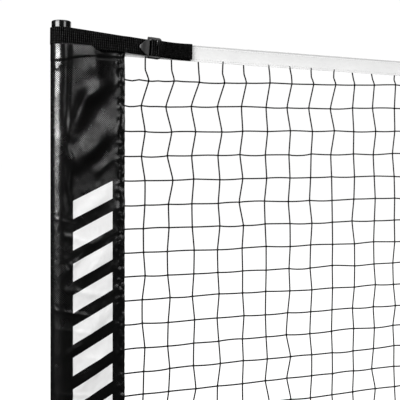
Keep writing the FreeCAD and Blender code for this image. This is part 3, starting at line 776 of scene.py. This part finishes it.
def rounded(corners):
    """A line through corners, each (along, depth, radius), turned on arcs."""
    out = [np.array([corners[0][:2]], float)]
    for before, here, after in zip(corners, corners[1:], corners[2:]):
        corner = np.array(here[:2], float)
        back = np.array(before[:2]) - corner
        on = np.array(after[:2]) - corner
        back, on = back / np.linalg.norm(back), on / np.linalg.norm(on)
        bend = math.pi - math.acos(np.clip(back @ on, -1, 1))
        reach = here[2] * math.tan(bend / 2)
        middle = (back + on) / np.linalg.norm(back + on)
        center = corner + middle * here[2] / math.cos(bend / 2)
        start, end = corner + back * reach - center, corner + on * reach - center
        first = math.atan2(start[1], start[0])
        sweep = math.atan2(start[0] * end[1] - start[1] * end[0], start @ end)
        out.append(arc(center, here[2], first, first + sweep))
    out.append(np.array([corners[-1][:2]], float))
    return np.concatenate(out)


def even(path, step):
    """The same line with its long runs cut into short ones."""
    out = [path[:1]]
    for a, b in zip(path[:-1], path[1:]):
        count = max(1, round(np.linalg.norm(b - a) / step))
        out.append(a + (b - a) * (np.arange(1, count + 1) / count)[:, None])
    return np.concatenate(out)


def lengths(path):
    """How far along a line each of its points is."""
    return np.concatenate([[0], np.cumsum(np.linalg.norm(np.diff(path, axis=0), axis=1))])


def webbing_mesh(name, path, side, height, lean, width, material, drop=0.0):
    """Webbing with rounded selvedges along a line, as a closed mesh. Height gives the middle's
    height along the net, lean tilts its width, and drop lowers it point by point."""
    count = len(path)
    tangent = np.gradient(path, axis=0)
    tangent /= np.linalg.norm(tangent, axis=1, keepdims=True)
    normal = np.stack([-tangent[:, 1], tangent[:, 0]], axis=1)
    edge = np.linspace(-math.pi / 2, math.pi / 2, 5)
    flat = np.linspace(-1, 1, 7)[1:-1]
    inner = width / 2 - STRAP_T / 2
    across = np.concatenate([inner + STRAP_T / 2 * np.cos(edge), flat[::-1] * inner])
    across = np.concatenate([across, -inner - STRAP_T / 2 * np.cos(edge), flat * inner])
    out = np.concatenate([np.sin(edge), np.ones(5), np.sin(-edge), -np.ones(5)]) * STRAP_T / 2
    u = path[:, 0] * MM
    center = height(u) - drop
    tilt = lean(u)
    point_u = u[:, None] + out * normal[:, :1] + np.sin(tilt)[:, None] * across
    point_y = path[:, 1:] * MM + out * normal[:, 1:]
    point_z = center[:, None] + np.cos(tilt)[:, None] * across
    points = np.stack([side * (POST_X - point_u), point_y, point_z], axis=-1)
    along = lengths(path) * MM
    uv = np.stack(np.broadcast_arrays(along[:, None], across[None, :]), axis=-1)
    ring = len(across)
    index = np.arange(count * ring).reshape(count, ring)
    turned = np.roll(index, -1, axis=1)
    faces = np.stack([index[:-1], turned[:-1], turned[1:], index[1:]], axis=-1).reshape(-1, 4)
    ends = [index[0][::-1].tolist(), index[-1].tolist()]
    faces = faces.tolist() + ends
    if side > 0:
        faces = [face[::-1] for face in faces]
    obj = mesh_object(name, points.reshape(-1, 3), faces, material)
    set_uv(obj, uv.reshape(-1, 2))
    return obj


def strap_heights(word, level):
    """Height of a strap's middle along the net, how far its width leans, and its slope."""
    low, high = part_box(f"{word}_{level}_buckle")
    fall = math.radians(STRAP_FALL[level])
    center = (low.z + high.z) / 2
    middle = 133 * MM
    at_post = center + math.tan(fall) * middle
    soft = 7 * MM

    def height(u):
        past = soft * np.logaddexp(0, u / soft)
        return at_post - math.tan(fall) * past

    def lean(u):
        return fall / (1 + np.exp(-u / soft))

    return height, lean, fall


def make_straps(word, side):
    """Each strap in two pieces that meet at the back of the upright: one lies along the net's
    back, the other goes through the buckle and back over itself as the tail."""
    for level in LEVELS:
        height, lean, fall = strap_heights(word, level)
        radius = UPRIGHT_R + 0.65 + 12.5 * math.sin(abs(fall)) * 0.4 + 0.5
        back_end = (150, 3.95)
        under = (BUCKLE_END, LOAD_LEVEL)
        first = tangent_angle(back_end, radius, 1)
        last = 2 * math.pi + tangent_angle(under, radius, -1)
        cut = math.radians(110)
        back = np.concatenate([[back_end], arc((0, 0), radius, first, cut)])
        wrap_left, wrap_right = (place * math.cos(fall) for place in WRAP_BAR)
        leave = (radius * math.cos(last), radius * math.sin(last))
        slope = (leave[1] - LOAD_LEVEL) / (leave[0] - under[0])
        tail_y = TAIL_LEVEL + slope * (TAIL_END - under[0])
        run = rounded(
            [
                (*leave, 0),
                (*under, 20),
                (wrap_right, LOAD_LEVEL, 1.3),
                (wrap_right, WRAP_FRONT, 1.6),
                (wrap_left, WRAP_FRONT, 1.6),
                (wrap_left, TAIL_LEVEL, 1.3),
                (under[0], TAIL_LEVEL, 20),
                (TAIL_END, tail_y, 0),
            ]
        )
        front = np.concatenate([arc((0, 0), radius, cut, last)[:-1], run])
        back, front = even(back, 2.5), even(front, 2.0)
        distance = lengths(front)
        from_end = distance[-1] - distance
        drop = TAIL_DROP * np.clip(1 - from_end / 62, 0, 1) ** 1.3 * LEVELS[level]
        node = f"{word}_{level}_strap"
        same = (height, lean, STRAP_W, "strap")
        obj = webbing_mesh(node + "_back", back, side, *same)
        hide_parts(node)
        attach(obj, "frame")
        obj = webbing_mesh(node + "_front", front, side, *same, drop)
        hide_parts(node)
        place = [(u * MM, height(u * MM)) for u in STRAP_BEND]
        start, end = [(side * (POST_X - u), -6 * MM, float(z)) for u, z in place]
        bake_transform(obj)
        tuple(start)
        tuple(end)
        make_anchor(word, level, side, height, lean, fall)
        make_buckle(word, level, side, height, fall)


def make_anchor(word, level, side, height, lean, fall):
    """Webbing sewn on the tape that goes round the buckle's fixed bar and back. Its sewn end
    lies along the tape."""
    bar, plane = BUCKLE_BAR[0] * math.cos(fall), BUCKLE_BAR[1]
    radius = 3.0
    path = even(
        rounded(
            [
                (204, -5.3, 0),
                (190, -4.9, 30),
                (bar + 4, plane - radius, 14),
                (bar - radius, plane - radius, radius),
                (bar - radius, plane + radius, radius),
                (bar + 4, plane + radius, 14),
                (202, -3.7, 0),
            ]
        ),
        1.5,
    )
    ease = 6 * MM
    turned = math.tan(fall) - TAPE_SLOPE * LEVELS["top"]

    def eased_height(u):
        return height(u) + turned * ease * np.logaddexp(0, (u - ANCHOR_BEND) / ease)

    def eased_lean(u):
        divisor = 1 + np.exp(-(u - ANCHOR_BEND) / ease)
        return lean(u) - (fall - math.atan(TAPE_SLOPE)) / divisor

    spread = np.clip((path[:, 0] - 158) / 40, 0, 1)
    layer = np.where(np.arange(len(path)) > np.argmin(path[:, 0]), 1.0, -1.0)
    drop = layer * spread * 1.2 * MM * LEVELS[level]
    width = STRAP_W - 0.4 * MM
    name = f"{word}_{level}_anchor"
    shape = (path, side, eased_height, eased_lean, width, "anchor", drop)
    obj = webbing_mesh(name + "_cloth", *shape)
    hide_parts(name)
    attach(obj, "frame")


# The buckle, about the post's axis, in mm: half its width and half the gap between its rails,
# the middle and the front of its rails, and how far its bars run into them.
BUCKLE_HALF, BUCKLE_INNER = 16.5, 12.8
BUCKLE_MIDDLE, BUCKLE_FRONT = 140.6, -10.9
BAR_LAP = 0.6
BUCKLE_VOXEL = 0.42
# The corners of a rail's rounded end: along, half width.
RAIL_ENDS = [(129.6, 13.8), (131.0, 15.6), (133.4, BUCKLE_HALF)]
# The tab narrows to its tip: along, half width, front.
TAB = [
    (131.9, 14.4, -12.2),
    (126, 10.3, -11.8),
    (121.5, 5.7, -10.9),
    (118.6, 2.7, -9.8),
    (117.3, 1.4, -8.9),
]


def add_hull(bm, corners):
    verts = [bm.verts.new(corner) for corner in corners]
    bmesh.ops.convex_hull(bm, input=verts)


def add_block(bm, low, high):
    """A box between its lowest and highest corners."""
    add_hull(bm, list(itertools.product(*zip(low, high))))


def buckle_mesh():
    """The buckle about the post's axis in mm: side rails, bars and the wedge of its tab, as shells
    that make_buckle grows together and smooths like a moulding."""
    bm = bmesh.new()
    for sign in (-1, 1):
        corners = []
        for u, z in RAIL_ENDS:
            for along in (u, 2 * BUCKLE_MIDDLE - u):
                corners += [(along, -5.6, z), (along, -9.4, z), (along, BUCKLE_FRONT, z - 1.3)]
                corners += [(along, -5.6, BUCKLE_INNER), (along, -9.8, BUCKLE_INNER)]
        add_hull(bm, [(u, y, sign * z) for u, y, z in corners])
    reach = BUCKLE_INNER + BAR_LAP
    add_block(bm, (136.9, BUCKLE_FRONT, -reach), (142.8, -7.2, reach))
    edge = BUCKLE_HALF - 0.4
    add_block(bm, (129.4, BUCKLE_FRONT, -edge), (131.9, -7.0, edge))
    wedge = []
    for u, half, front in TAB:
        wedge += [(u, y, sign * half) for y in (front, -8.6) for sign in (-1, 1)]
    add_hull(bm, wedge)
    bar, plane = BUCKLE_BAR
    ring = [(bar + 2 * math.cos(a), plane + 2 * math.sin(a)) for a in np.arange(12) * math.pi / 6]
    add_hull(bm, [(u, y, z) for u, y in ring for z in (-reach, reach)])
    mesh = bpy.data.meshes.new("buckle")
    bm.to_mesh(mesh)
    bm.free()
    return mesh


def make_buckle(word, level, side, height, fall):
    """The moulding in its place, turned with its strap. It rides on the buckle's body."""
    obj = bpy.data.objects.new(f"{word}_{level}_buckle_moulding", buckle_mesh())
    bpy.context.scene.collection.objects.link(obj)
    remesh = obj.modifiers.new("grow_together", "REMESH")
    remesh.mode = "VOXEL"
    remesh.voxel_size = BUCKLE_VOXEL
    remesh.use_smooth_shade = True
    soften = obj.modifiers.new("soften", "SMOOTH")
    soften.iterations = 3
    depsgraph = bpy.context.evaluated_depsgraph_get()
    shaped = bpy.data.meshes.new_from_object(obj.evaluated_get(depsgraph))
    obj.modifiers.clear()
    obj.data = shaped
    points = np.empty(len(shaped.vertices) * 3)
    shaped.vertices.foreach_get("co", points)
    u, y, z = points.reshape(-1, 3).T * MM
    at_post = float(height(BUCKLE_BAR[0] * MM)) + math.tan(fall) * BUCKLE_BAR[0] * MM
    turned_u = u * math.cos(fall) + z * math.sin(fall)
    turned_z = at_post - u * math.sin(fall) + z * math.cos(fall)
    points = np.stack([side * (POST_X - turned_u), y, turned_z], axis=1)
    shaped.vertices.foreach_set("co", points.ravel())
    if side > 0:
        shaped.flip_normals()
    shaped.materials.clear()
    shaped.materials.append(MATERIALS["buckle"])
    node = f"{word}_{level}_buckle"
    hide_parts(node)
    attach(obj, node)


# ---- center strap, its loops and the cords in the tapes ----------------------------------


def make_center_strap():
    """The white band down the middle of the net, a little slack between its sewn ends."""
    low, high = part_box("center_strap")
    z = np.linspace(low.z, high.z, 120)
    x = np.linspace(low.x, high.x, 14)
    slack = 0.5 * MM * np.sin(np.linspace(0, 3 * np.pi, len(z))) + smooth_noise(len(z), 7, 0.3 * MM)
    cupped = 0.4 * MM * (2 * (x - low.x) / (high.x - low.x) - 1) ** 2
    y = (low.y + high.y) / 2 + slack[:, None] + cupped[None, :]
    rows = np.stack(np.broadcast_arrays(x[None, :], y, z[:, None]), axis=-1)
    uv = np.stack(np.broadcast_arrays(z[:, None], (x - low.x)[None, :]), axis=-1)
    obj = piece("center_strap_webbing", rows, "center_strap", uv)
    thicken(obj, STRAP_T)
    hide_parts("center_strap")


def make_center_loops():
    """Webbing rings sewn to the net that slip over the center post."""
    low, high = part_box("center_post_loops")
    middle = (low.y + high.y) / 2
    radius = (high.x - low.x) / 2 - STRAP_T / 2
    angle = np.linspace(0, 2 * np.pi, 64, endpoint=False)
    for name, start in (("upper", high.z - STRAP_W), ("lower", low.z)):
        z = np.linspace(start, start + STRAP_W, 14)
        sag = 0.12 * MM * np.sin(3 * angle)[None, :] * np.linspace(-1, 1, len(z))[:, None]
        reach = radius + sag
        x = reach * np.sin(angle)
        y = middle - reach * np.cos(angle)
        rows = np.stack(np.broadcast_arrays(x, y, z[:, None]), axis=-1)
        uv = np.stack(np.broadcast_arrays(angle * radius, (z - start)[:, None]), axis=-1)
        obj = piece(f"center_loop_{name}", rows, "strap", uv, closed=True)
        thicken(obj, STRAP_T)
        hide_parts("center_post_loops")


def make_edge_cords():
    """The twisted cords inside the folds of the tapes."""
    for node in ("headline_cord", "footline_cord"):
        low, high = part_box(node)
        radius = (high.y - low.y) / 2
        x = np.linspace(low.x, high.x, 401)
        z = high.z - radius - TAPE_SLOPE * (high.x - np.abs(x))
        line = np.stack([x, np.zeros_like(x), z], axis=-1)[None]
        points, faces, uv = twine_tubes(line, radius, 8)
        obj = mesh_object(node + "_rope", points, faces, "white_cord")
        set_uv(obj, uv)
        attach(obj, "frame")
        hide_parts(node)


# ---- scene ------------------------------------------------------------------------------


def dress_cad():
    """Finishes for the CAD pieces that stay as they are."""
    slots = {item["node"]: item["material_slot"] for item in frame["record"]["subparts"]}
    finishes = {
        "black_tube": "tube",
        "black_plastic": "cap",
        "black_rubber": "rubber",
        "buckle_plastic": "buckle",
        "black_webbing": "strap",
        "coated_fabric": "sleeve",
        "white_tape": "white_tape",
        "black_tape": "black_tape",
        "net_cord": "twine",
        "white_cord": "white_cord",
        "steel": "steel",
    }
    for name, obj in frame["nodes"].items():
        obj.data.materials.clear()
        obj.data.materials.append(MATERIALS[finishes[slots[name]]])


FLOOR_REACH = 60.0
FLOOR_LIGHT = 0.9


def make_floor():
    """A white floor that lights neither the object nor its reflections."""
    white = {"Emission_Color": (1, 1, 1, 1), "Emission_Strength": FLOOR_LIGHT}
    MATERIALS["floor"] = Nodes("pale_floor", grey(0.3), 0.9, **white).material
    corners = np.array([[-1, -1, 0], [1, -1, 0], [1, 1, 0], [-1, 1, 0]]) * FLOOR_REACH
    floor = mesh_object("floor", corners, np.array([[0, 1, 2, 3]]), "floor")
    floor.visible_glossy = False
    floor.visible_diffuse = False


SOFT_FILL = 0.42
LOWEST_FILL = 0.015


def make_world():
    """A white surround for the camera, soft fill on matt surfaces and dark in reflections."""
    world = bpy.data.worlds.new("studio")
    bpy.context.scene.world = world
    world.use_nodes = True
    tree = world.node_tree
    background = tree.nodes["Background"]
    background.inputs[0].default_value = (1, 1, 1, 1)
    rays = tree.nodes.new("ShaderNodeLightPath").outputs
    fill = math_node(tree, "MULTIPLY", rays["Is Diffuse Ray"], SOFT_FILL)
    total = math_node(tree, "ADD", rays["Is Camera Ray"], fill)
    feed(tree, background.inputs[1], math_node(tree, "ADD", total, LOWEST_FILL))


def softbox(name, place, target, width, height, power):
    data = bpy.data.lights.new(name, "AREA")
    data.shape = "RECTANGLE"
    data.size, data.size_y = width, height
    data.energy = power
    light = bpy.data.objects.new(name, data)
    light.location = place
    aim = Vector(target) - Vector(place)
    light.rotation_mode = "QUATERNION"
    light.rotation_quaternion = aim.to_track_quat("-Z", "Y")
    bpy.context.scene.collection.objects.link(light)


def from_corner(degrees, distance, height):
    """A place as seen from the left upright: degrees to the right of straight in front."""
    angle = math.radians(degrees)
    return (-POST_X + distance * math.sin(angle), -distance * math.cos(angle), height)


def make_lights():
    """Two large lights on the near corner, and two above the whole net."""
    corner = (-POST_X + 0.05, 0, 0.95)
    left, right = from_corner(-59, 2.1, 1.62), from_corner(31, 2.2, 1.62)
    softbox("left_box", left, corner, width=1.75, height=1.7, power=74)
    softbox("right_box", right, corner, width=0.9, height=1.7, power=16)
    softbox("top_box", (0, -1.2, 4.2), (0, 0, 0.4), width=8.0, height=2.5, power=80)
    softbox("back_box", (0, 3.5, 2.6), (0, 0, 0.5), width=7.0, height=2.0, power=40)


CAMERA_AT = (-3.534, -1.037, 0.735)
CAMERA_TURN = math.radians(-21.1)
CAMERA_SHIFT = -0.1075


def make_camera():
    """Level, turned to the right, and shifted down so that uprights stay upright."""
    data = bpy.data.cameras.new("camera")
    data.lens = 63
    data.sensor_width = 36
    data.shift_y = CAMERA_SHIFT
    data.clip_start = 0.05
    camera = bpy.data.objects.new("camera", data)
    camera.location = CAMERA_AT
    camera.rotation_euler = (math.radians(90), 0, CAMERA_TURN)
    bpy.context.scene.collection.objects.link(camera)
    bpy.context.scene.camera = camera


bpy.context.scene.view_settings.view_transform = "Standard"
dress_cad()
make_net()
folded_tape("top_tape_cloth", "top_tape", 0.0, 1, "white_tape")
folded_tape("bottom_tape_cloth", "bottom_tape", NET_DEPTH, -1, "black_tape")
for word, side in SIDES.items():
    make_sleeve(word, side)
    make_straps(word, side)
make_center_strap()
make_center_loops()
make_edge_cords()
make_floor()
make_world()
make_lights()
make_camera()
